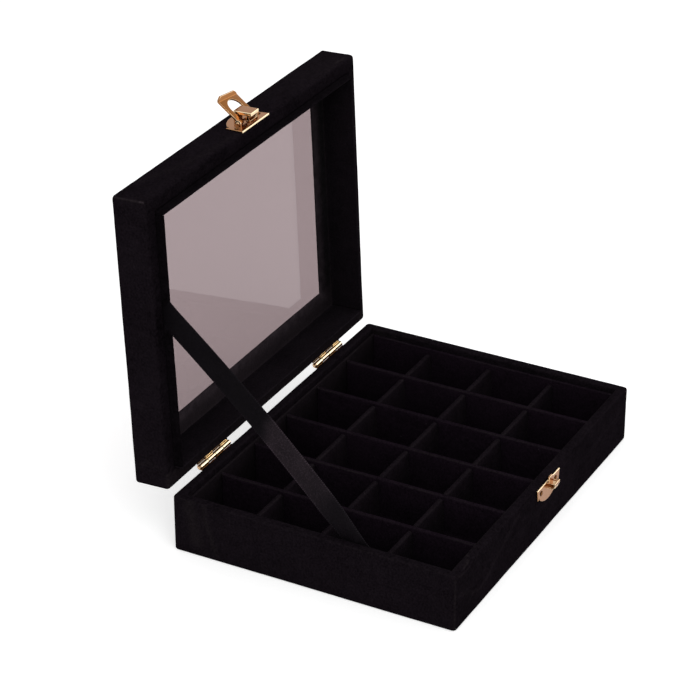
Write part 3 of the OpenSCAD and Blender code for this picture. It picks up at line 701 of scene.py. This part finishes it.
def bentStrip(width, thick, start, heading, moves, roundEnd=0.0):     # drawn in Y-Z, width along X
    bm = bmesh.new()
    bmesh.ops.create_grid(bm, x_segments=1, y_segments=1, size=0.5)
    bmesh.ops.scale(bm, vec=(width, thick, 1), verts=bm.verts)
    upright = Matrix.Rotation(math.radians(heading - 90), 3, "X")
    bmesh.ops.rotate(bm, cent=(0, 0, 0), matrix=upright, verts=bm.verts)
    bmesh.ops.translate(bm, vec=(0, *start), verts=bm.verts)
    end, at, way = bm.faces[:], Vector((0, *start)), math.radians(heading)
    for kind, amount, radius in moves:
        ahead = Vector((0, math.cos(way), math.sin(way)))
        if kind == "run":
            grown = bmesh.ops.extrude_face_region(bm, geom=end)["geom"]
            bmesh.ops.translate(bm, vec=ahead * amount, verts=pick(grown, BMVert))
            at = at + ahead * amount
        else:
            turn = math.radians(amount)
            left = Vector((0, -ahead.z, ahead.y)) * math.copysign(radius, turn)
            grown = bmesh.ops.spin(bm, geom=end, cent=at + left, axis=(1, 0, 0), angle=turn,
                                   steps=max(int(abs(amount) / 12), 3), use_merge=False)["geom_last"]
            at = at + left + Matrix.Rotation(turn, 3, "X") @ -left
            way += turn
        end = pick(grown, BMFace)
    weld(bm)
    bmesh.ops.recalc_face_normals(bm, faces=bm.faces)
    if roundEnd:
        soften(bm, [e for e in end[0].edges if abs(e.verts[0].co.x - e.verts[1].co.x) < 0.001], roundEnd, 5)
    # edges and flat sides get the painted highlight
    soften(bm, sharpEdges(bm), min(brass["edge"], thick * brass["edgeShare"]), 3, brass["worn"])
    bm.normal_update()
    glintFaces(bm, [f for f in bm.faces if abs(f.normal.x) > 0.9], brass["worn"])
    return bm


plates = {"width": 25.5, "thick": 0.8, "taper": 0.8, "lobe": 20.4, "notch": 0.8, "notchSweep": 215,
          "edge": 0.28, "rimGlint": 0.2, "root": 0.4,          # root: where a strip starts in a plate
          "keeperSide": 5.8, "keeperReach": 10.0, "keeperTop": 28.4,
          "haspSide": 9.6, "haspReach": 14.0, "haspEdge": 0.2}


def stampedPlate(side, reach):
    p = plates
    rise = reach - side
    lobeR = ((p["lobe"] / 2) ** 2 + rise ** 2) / (2 * rise)
    lobeC = (0, reach - lobeR, 0)
    notchX = p["lobe"] / 2 + p["notch"] / 2
    shoulder = p["width"] / 2 - p["taper"]
    bm = bmesh.new()
    first = bm.verts.new((-p["width"] / 2, 0, 0))
    path = [first, bm.verts.new((p["width"] / 2, 0, 0)), bm.verts.new((shoulder, side, 0)),
            bm.verts.new((notchX + p["notch"], side, 0))]
    for a, b in zip(path, path[1:]):
        bm.edges.new((a, b))
    v = spinPoint(bm, path[-1], (notchX, side, 0), -p["notchSweep"], 9)
    start = math.degrees(math.atan2(v.co.y - lobeC[1], v.co.x))
    v = spinPoint(bm, v, lobeC, 180 - 2 * start, 30)
    v = spinPoint(bm, v, (-notchX, side, 0), -p["notchSweep"], 9)
    last = bm.verts.new((-shoulder, side, 0))
    bm.edges.new((v, last))
    bm.edges.new((last, first))
    thicken(bm, p["thick"])
    soften(bm, [e for e in sharpEdges(bm) if lowEnd(e) > p["thick"] - 0.01], p["edge"], 3)
    bm.normal_update()
    # the plate's sides get a faint painted highlight
    glintFaces(bm, [f for f in bm.faces if abs(f.normal.z) < 0.95], p["rimGlint"])
    straightEdgeGlint = [f for f in bm.faces if f.calc_center_median().y < p["edge"]]      # painted highlight along the plate's straight edge
    glintFaces(bm, straightEdgeGlint, brass["highlight"])
    return bm


# from a drawing to the front face: up it, down it, and Y out from it
onFront = Matrix(((1, 0, 0, 0), (0, 0, -1, frontY), (0, 1, 0, 0), (0, 0, 0, 1)))
downFront = Matrix(((1, 0, 0, 0), (0, 0, -1, frontY), (0, -1, 0, 0), (0, 0, 0, 1)))
outward = Matrix(((1, 0, 0, 0), (0, -1, 0, frontY), (0, 0, 1, 0), (0, 0, 0, 1)))

hook = {"strip": 0.9, "width": 5.5, "out": 5.4, "bend": 2.0, "low": 25.13, "top": 28.6,
        "tabOut": 2.1, "tabTop": 31.2, "tabWidth": 4.6, "tabRound": 1.2,
        "cheek": 0.7, "cheekIn": 0.05, "cheekBack": 0.6, "cheekDrop": 0.5, "cheekEdge": 0.16,
        "bed": 27.7, "bedLap": 0.1, "bedEdge": 0.15, "bedGlint": 0.45}


def makeKeeper():
    p = hook
    half = p["strip"] / 2
    low = p["low"] + half
    front = p["out"] - half
    plate = stampedPlate(plates["keeperSide"], plates["keeperReach"])
    cup = bentStrip(p["width"], p["strip"], (plates["root"], low), 0,
                    [("run", front - p["bend"] - plates["root"], 0), ("turn", 90, p["bend"]),
                     ("run", p["top"] - low - p["bend"], 0)])
    tab = bentStrip(p["tabWidth"], p["strip"], (p["tabOut"] - half, low), 90,
                    [("run", p["tabTop"] - low, 0)], p["tabRound"])
    atTop = Matrix.Translation((0, 0, plates["keeperTop"]))
    parts = [(plate, atTop @ downFront), (cup, outward), (tab, outward)]
    edge = p["width"] / 2
    for x in (-edge + p["cheekIn"], edge - p["cheek"] - p["cheekIn"]):     # they close the cup's ends
        cheek = block((x, p["cheekBack"], low), (x + p["cheek"], front, p["top"] - p["cheekDrop"]))
        corner = [e for e in edgesAlong(cheek, 0)
                  if e.verts[0].co.y > front - 1 and e.verts[0].co.z < low + 1]
        soften(cheek, corner, p["bend"] * 0.8, 5)
        soften(cheek, sharpEdges(cheek), p["cheekEdge"], 2, brass["worn"])
        parts.append((cheek, outward))
    inner = edge - p["cheek"]
    bed = block((-inner, p["tabOut"] - p["bedLap"], low), (inner, front, p["bed"]))
    soften(bed, sharpEdges(bed), p["bedEdge"], 2)
    glintFaces(bed, bed.faces, p["bedGlint"])          # the cup is pressed full to its bed, which is painted part way to the highlight
    parts.append((bed, outward))
    finishPiece("keeper", gather(parts), "base", roseBrass, ["keeper_plate"])


bridge = {"strip": 0.9, "width": 7.1, "far": 9.9, "top": 6.1, "near": 1.65, "roll": 2.05, "rollEnd": 3.45,
          "end": 4.65, "bend": 0.65, "cap": 1.7, "capWidth": 7.3, "capNear": 0.35, "capProud": 0.03,
          "capEdge": 0.3, "capGlint": 0.85}
ear = {"x": 7.65, "thick": 0.8, "radius": 1.65, "out": 2.3, "rise": 5.2, "edge": 0.14, "edgeGlint": 0.8}


def makeEar():
    p = ear
    bm = bmesh.new()
    foot = bm.verts.new((plates["root"], p["rise"] - p["radius"], 0))
    knee = bm.verts.new((p["out"], p["rise"] - p["radius"], 0))
    bm.edges.new((foot, knee))
    v = spinPoint(bm, knee, (p["out"], p["rise"], 0), 180, 14)
    heel = bm.verts.new((plates["root"], p["rise"] + p["radius"], 0))
    bm.edges.new((v, heel))
    bm.edges.new((heel, foot))
    thicken(bm, p["thick"])
    # the ear is painted part way to the highlight colour, its edges more
    glintFaces(bm, bm.faces, brass["bendGlint"])
    soften(bm, sharpEdges(bm), p["edge"], 2, p["edgeGlint"])
    return bm


def makeCap():                                # the bridge's thick pressed top
    p = bridge
    high = p["top"] + p["strip"] / 2 + p["capProud"]
    half = p["capWidth"] / 2
    bm = block((-half, high - p["cap"], p["capNear"]), (half, high, p["far"] + p["strip"] / 2))
    ends = [f for f in bm.faces if abs(f.normal.x) > 0.9 or f.normal.z < -0.9]
    # the cap's ends and underside get the painted highlight, its edges fully
    glintFaces(bm, ends, p["capGlint"])
    soften(bm, sharpEdges(bm), p["capEdge"], 3, brass["highlight"])
    return bm


def makeHasp():
    p = bridge
    r = p["bend"]
    plate = stampedPlate(plates["haspSide"], plates["haspReach"])
    fold = bentStrip(p["width"], p["strip"], (plates["root"], p["far"]), 0, [
        ("run", p["top"] - plates["root"] - r, 0), ("turn", -90, r), ("run", p["far"] - p["near"] - 2 * r, 0),
        ("turn", -90, r), ("run", p["top"] - p["roll"] - 2 * r, 0), ("turn", -90, r),
        ("run", p["rollEnd"] - p["near"] - 2 * r, 0), ("turn", -90, r), ("run", p["end"] - p["roll"] - r, 0)])
    glintFaces(fold, fold.faces, brass["bendGlint"])        # painted part way to the highlight colour
    atRim = Matrix.Translation((0, 0, lidRim))
    ears = [(makeEar(), atRim @ Matrix(((0, 0, 1, x), (-1, 0, 0, frontY), (0, 1, 0, 0), (0, 0, 0, 1))))
            for x in (ear["x"], -ear["x"] - ear["thick"])]
    bm = gather([(plate, Matrix.Translation((0, 0, lidRim + plates["haspEdge"])) @ onFront),
                 (fold, atRim @ outward), (makeCap(), atRim @ outward)] + ears)
    finishPiece("hasp", bm, "lid", roseBrass, ["hasp_plate"], openLid)


loop = {"width": 15.0, "arm": 3.0, "thick": 1.0, "length": 12.9, "bar": 1.0, "eye": 1.2, "hole": 0.6,
        "eyeEdge": 0.1, "armRoot": 0.8, "lip": 2.9, "lipWidth": 11.0, "shoulder": 0.6, "bend": 47.0,
        "rest": 43.0, "bendRadius": 0.9, "edge": 0.18, "edgeGlint": 0.6, "skew": 0.1, "lean": -3.5}
loopPivot = Matrix.Translation((0, frontY - ear["out"], lidRim + ear["rise"]))


def makeEye(side):
    p = loop
    ring = bmesh.new()
    bmesh.ops.create_grid(ring, x_segments=1, y_segments=1, size=0.5)
    bmesh.ops.scale(ring, vec=(p["arm"], p["eye"] - p["hole"], 1), verts=ring.verts)
    middle = (side * (p["width"] / 2 - p["arm"] / 2), (p["eye"] + p["hole"]) / 2, 0)
    bmesh.ops.translate(ring, vec=middle, verts=ring.verts)
    bmesh.ops.spin(ring, geom=ring.faces[:] + ring.edges[:] + ring.verts[:], cent=(0, 0, 0), axis=(1, 0, 0),
                   angle=math.tau, steps=28, use_merge=True)
    weld(ring)
    starts = [f for f in ring.faces if abs(f.normal.z) > 0.99 and len(f.verts) == 4
              and abs(f.calc_center_median().z) < 0.001]
    bmesh.ops.delete(ring, geom=starts, context="FACES_ONLY")
    bmesh.ops.recalc_face_normals(ring, faces=ring.faces)
    soften(ring, sharpEdges(ring), p["eyeEdge"], 2)
    return ring


def makeLoop():
    p = loop
    half, gap = p["width"] / 2, p["width"] / 2 - p["arm"]
    arch = p["length"] - p["bar"] - gap
    root = p["eye"] * p["armRoot"]
    bm = bmesh.new()
    spots = [(gap, arch), (gap, root), (half, root), (half, p["length"]), (-half, p["length"]),
             (-half, root), (-gap, root)]
    path = [bm.verts.new((x, y, -p["thick"] / 2)) for x, y in spots]
    for a, b in zip(path, path[1:]):
        bm.edges.new((a, b))
    v = spinPoint(bm, path[0], (0, arch, 0), 180, 22)
    bm.edges.new((v, path[-1]))
    thicken(bm, p["thick"])
    end = [f for f in bm.faces if all(abs(v.co.y - p["length"]) < 0.001 for v in f.verts)]
    radius = p["bendRadius"]
    turn = math.radians(p["bend"])
    grown = bmesh.ops.spin(bm, geom=end, cent=(0, p["length"], radius), axis=(1, 0, 0), angle=turn,
                           steps=5, use_merge=False)["geom_last"]
    end = pick(grown, BMFace)
    ahead = Vector((0, math.cos(turn), math.sin(turn)))
    short = p["lip"] - radius * turn
    for share, width in ((0.3, p["width"] - p["shoulder"]), (0.7, p["lipWidth"])):
        grown = bmesh.ops.extrude_face_region(bm, geom=end)["geom"]
        verts = pick(grown, BMVert)
        bmesh.ops.translate(bm, vec=ahead * short * share, verts=verts)
        for v in verts:
            v.co.x = math.copysign(width / 2, v.co.x)
        end = pick(grown, BMFace)
    weld(bm)
    bmesh.ops.recalc_face_normals(bm, faces=bm.faces)
    soften(bm, sharpEdges(bm), p["edge"], 2, p["edgeGlint"])
    for v in bm.verts:                       # it hangs a little askew on its loose pin
        v.co.y -= p["skew"] * v.co.x * max(v.co.y, 0.0) / p["length"]
    whole = gather([(bm, None), (makeEye(1), None), (makeEye(-1), None)])
    raised = loopPivot @ Matrix.Rotation(math.radians(90 + p["rest"] + p["lean"]), 4, "X")
    finishPiece("loop", whole, "loop", roseBrass, ["hasp_loop"], openLid @ raised)


nail = {"height": 0.7, "shank": 0.5, "tip": 0.2, "length": 4.2, "lap": 0.02, "clean": 0.6,
        "cleanFrom": (0.2, 0.5), "keeper": (8.4, 25.2, 1.4), "hasp": (10.4, 35.2, 1.15)}


def dome(radius, height):
    bm = bmesh.new()
    bmesh.ops.create_uvsphere(bm, u_segments=24, v_segments=14, radius=1.0)
    bmesh.ops.scale(bm, vec=(radius, radius, height), verts=bm.verts)
    cut = bmesh.ops.bisect_plane(bm, geom=bm.verts[:] + bm.edges[:] + bm.faces[:], plane_co=(0, 0, 0.01),
                                 plane_no=(0, 0, 1), clear_inner=True)["geom_cut"]
    bmesh.ops.edgeloop_fill(bm, edges=pick(cut, BMEdge))
    return bm


def makeNail(radius, at):
    head = dome(radius, nail["height"])
    grimeAndShade = head.verts.layers.float.new("grimeAndShade")
    for v in head.verts:                      # a dark ring where the head meets the plate
        v[grimeAndShade] = 1 - nail["clean"] * between(v.co.z, *nail["cleanFrom"])
    shank = bmesh.new()
    bmesh.ops.create_cone(shank, cap_ends=True, segments=16, radius1=nail["shank"] * nail["tip"],
                          radius2=nail["shank"], depth=nail["length"])
    sunk = Matrix.Translation((0, 0, nail["lap"] - nail["length"] / 2))
    return [(head, at), (shank, at @ sunk)]


def makeNails(name, spot, body, node, place):
    parts = []
    for x in (-spot[0], spot[0]):
        parts += makeNail(spot[2], Matrix.Translation((x, -plates["thick"], spot[1])) @ onFront)
    finishPiece(name, gather(parts), body, roseBrass, [node], place)


hingePin = {"radius": 0.7, "length": hinge["length"], "head": 1.15, "headHeight": 0.5}
rivet = {"radius": 0.55, "length": 16.9, "head": 0.9, "headHeight": 0.4}


def makePin(name, p, body, node, place):
    rod = bmesh.new()
    bmesh.ops.create_cone(rod, cap_ends=True, segments=28, radius1=p["radius"], radius2=p["radius"],
                          depth=p["length"])
    alongX = place @ Matrix.Rotation(math.pi / 2, 4, "Y")
    parts = [(rod, alongX)]
    for side in (0, math.pi):
        turned = alongX @ Matrix.Rotation(side, 4, "X") @ Matrix.Translation((0, 0, p["length"] / 2))
        cap = dome(p["head"], p["headHeight"])
        # pin heads painted part way to the highlight colour
        glintFaces(cap, cap.faces, brass["pinHead"])
        parts.append((cap, turned))
    finishPiece(name, gather(parts), body, roseBrass, [node])


def makeLeaf(name, x, first, up, body, node, place):
    p = hinge
    knuckle = p["length"] / p["knuckles"]
    bend = p["barrel"] - p["sheet"] / 2
    sheetZ = p["z"] - up * bend
    back = case["depth"] / 2
    sheet = block((x - p["length"] / 2, back - p["sheetIn"], sheetZ - p["sheet"] / 2),
                  (x + p["length"] / 2, back + p["sheetOut"], sheetZ + p["sheet"] / 2))
    soften(sheet, sharpEdges(sheet), p["sheetEdge"], 2)
    parts = [(sheet, None)]
    for k in range(first, p["knuckles"] + 1, 2):
        rolled = bentStrip(knuckle - p["gap"], p["sheet"], (back - p["root"], sheetZ), 0,
                           [("run", p["y"] - back + p["root"], 0), ("turn", up * p["roll"], bend)])
        parts.append((rolled, Matrix.Translation((x + (k - 0.5) * knuckle - p["length"] / 2, 0, 0))))
    bm = gather(parts)
    grimeAndShade = bm.verts.layers.float.new("grimeAndShade")
    # painted shade: the leaf darkens off the barrel onto its flat sheet and on the box side of the barrel
    for v in bm.verts:
        out = math.hypot(v.co.y - p["y"], v.co.z - p["z"])
        offBarrel = between(out, *[p["barrel"] + d for d in p["flatShade"]])
        v[grimeAndShade] = max(offBarrel, p["rootDark"] * between(p["y"] - v.co.y, *p["rootShade"]))
    bm.normal_update()
    glintFaces(bm, bm.faces, 0.0)            # painted highlight on the barrels' tops as the hinge stands; their seams and the rest stay plain
    turn = place.to_3x3() if place else Matrix.Identity(3)
    glintTop = []
    for f in bm.faces:
        out = f.calc_center_median() - axisPoint
        out.x = 0
        onRoll = abs(f.normal.x) < 0.5 and p["barrel"] * 0.9 < out.length < p["barrel"] + 0.05
        if onRoll and (turn @ out).z > p["glintTop"] * out.length:
            glintTop.append(f)
    glintFaces(bm, glintTop, brass["highlight"])
    finishPiece(name, bm, body, roseBrass, [node], place)


makeKeeper()
makeHasp()
makeLoop()
makeNails("keeper_nail_pair", nail["keeper"], "base", "keeper_nails", None)
makeNails("hasp_nail_pair", nail["hasp"], "lid", "hasp_nails", openLid)
makePin("hasp_rivet", rivet, "lid", "hasp_pin", openLid @ loopPivot)
for side, x in (("left", -hinge["middle"]), ("right", hinge["middle"])):
    makeLeaf(f"{side}_leaf_low", x, 1, 1, "base", f"{side}_hinge_base_leaf", None)
    makeLeaf(f"{side}_leaf_high", x, 2, -1, "lid", f"{side}_hinge_lid_leaf", openLid)
    makePin(f"{side}_hinge_rod", hingePin, "base", f"{side}_hinge_pin",
            Matrix.Translation((x, hinge["y"], hinge["z"])))
print("hardware made")


# ribbon stay: half-inch satin, pulled straight by the open lid, its ends tucked behind the liners

ribbon = {"width": 12.5, "thick": 0.32, "x": -94.82, "lidX": -91.85, "reach": 100.0, "lidReach": 90.0,
          "tail": 6.5, "rows": 140, "columns": 12, "bow": 2.7, "twist": -14.0, "twistFade": (0.04, 0.22),
          "fold": 0.525, "foldSlant": 0.04, "foldFade": (-0.04, 0.01), "ragged": 0.02, "patch": 0.25,
          "lit": 1.87, "rises": [(0.22, 0.03, 0.08), (0.6, 0.16, 0.27), (0.4, 0.24, 0.38)]}


def layRibbon():
    p = ribbon
    low = Vector((0, hinge["y"] - p["reach"], tray["linerTop"]))
    high = openLid @ Vector((0, hinge["y"] - p["lidReach"], tray["lidLinerLow"]))
    span = (high - low).length
    along = (high - low) / span
    across = Vector((0, -along.z, along.y))
    length = span + 2 * p["tail"]
    bm = bmesh.new()
    bmesh.ops.create_grid(bm, x_segments=p["columns"], y_segments=p["rows"], size=0.5)
    nap = bm.verts.layers.float.new("nap")
    uv = bm.loops.layers.uv.new("weave")
    for f in bm.faces:
        for c in f.loops:
            c[uv].uv = (c.vert.co.x * p["width"], c.vert.co.y * length)
    for v in bm.verts:
        s, t = v.co.x, v.co.y + 0.5
        run = min(max((t * length - p["tail"]) / span, 0.0), 1.0)
        lean = math.radians(p["twist"]) * (1 - between(t, *p["twistFade"]))
        side = s * p["width"]
        uneven = noise.noise(Vector((2.2 * s, 18 * t, 3.0)))
        ragged = t + p["ragged"] * uneven
        fold = p["fold"] + p["foldSlant"] * s      # a soft crease crosses the ribbon here, lit below
        lit = sum(share * between(at, start, end)
                  for at, (share, start, end) in zip((t, ragged, t), p["rises"]))
        lit *= 1 - between(ragged, *[fold + d for d in p["foldFade"]])
        v[nap] = p["lit"] * lit * (1 + p["patch"] * uneven)
        spot = low + along * (t * length - p["tail"]) + across * (side * math.cos(lean))
        spot.x = p["x"] + (p["lidX"] - p["x"]) * run + side * math.sin(lean) + p["bow"] * 4 * run * (1 - run)
        v.co = spot
    bmesh.ops.recalc_face_normals(bm, faces=bm.faces)
    bmesh.ops.solidify(bm, geom=bm.faces[:], thickness=p["thick"])
    obj = finishPiece("ribbon", bm, None, blackSatin, ["ribbon_stay"], None, 50.0)
    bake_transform(obj, "base", "lid", start=tuple(0.001 * v for v in low + along * 8),
             end=tuple(0.001 * v for v in high - along * 8))
    print("ribbon flat", round(length, 1), "mm")


layRibbon()
print("ribbon made")


# stage, in metres: white floor and surround, two broad lamps, and the camera at the viewing angle

studio = {"floor": 6.0, "floorTone": (0.8, 0.8, 0.8, 1), "floorRough": 0.9, "floorGlow": 0.45,
          "white": (1, 1, 1, 1), "ambient": 0.72, "aim": (0, 0, 0.06),
          "lamps": [("key", (-0.9, -0.5, 1.3), 1.3, 9.4), ("fill", (1.05, -0.8, 0.45), 0.85, 3.4)]}
view = {"place": (-1.013671, -0.505755, 0.693406), "turn": (61.5589, -0.0619, -61.9932), "lens": 136.998,
        "sensor": 36.0}


def setStage():
    bm = bmesh.new()
    bmesh.ops.create_grid(bm, x_segments=2, y_segments=2, size=studio["floor"])
    mesh = bpy.data.meshes.new("floor")
    bm.to_mesh(mesh)
    bm.free()
    floor = bpy.data.objects.new("floor", mesh)
    scene.collection.objects.link(floor)
    f = Finish(bpy.data.materials.new("white_floor"))
    f.surface(Base_Color=studio["floorTone"], Roughness=studio["floorRough"], Specular_IOR_Level=0.0)
    glow = f.node("ShaderNodeEmission", {}, {"Color": studio["white"],
                                             "Strength": f.seen() * studio["floorGlow"]})
    both = f.node("ShaderNodeAddShader", {}, {0: Socket(f, f.shader.outputs[0]), 1: glow})
    f.tree.links.new(both.plug, f.tree.nodes["Material Output"].inputs[0])
    mesh.materials.append(f.owner)


def setLight():
    world = Finish(bpy.data.worlds.new("studio"), "Background")
    scene.world = world.owner
    level = studio["ambient"] + (1.0 - studio["ambient"]) * world.seen()
    world.surface(Color=studio["white"], Strength=level)
    for name, place, size, power in studio["lamps"]:
        lamp = bpy.data.lights.new(name, "AREA")
        lamp.size = size
        lamp.energy = power
        obj = bpy.data.objects.new(name, lamp)
        obj.location = place
        obj.rotation_euler = (Vector(studio["aim"]) - Vector(place)).to_track_quat("-Z", "Y").to_euler()
        scene.collection.objects.link(obj)


def setCamera():
    camera = bpy.data.cameras.new("camera")
    camera.lens = view["lens"]
    camera.sensor_width = view["sensor"]
    obj = bpy.data.objects.new("camera", camera)
    obj.location = view["place"]
    obj.rotation_euler = [math.radians(a) for a in view["turn"]]
    scene.collection.objects.link(obj)
    scene.camera = obj


setStage()
setLight()
setCamera()
print("stage made")
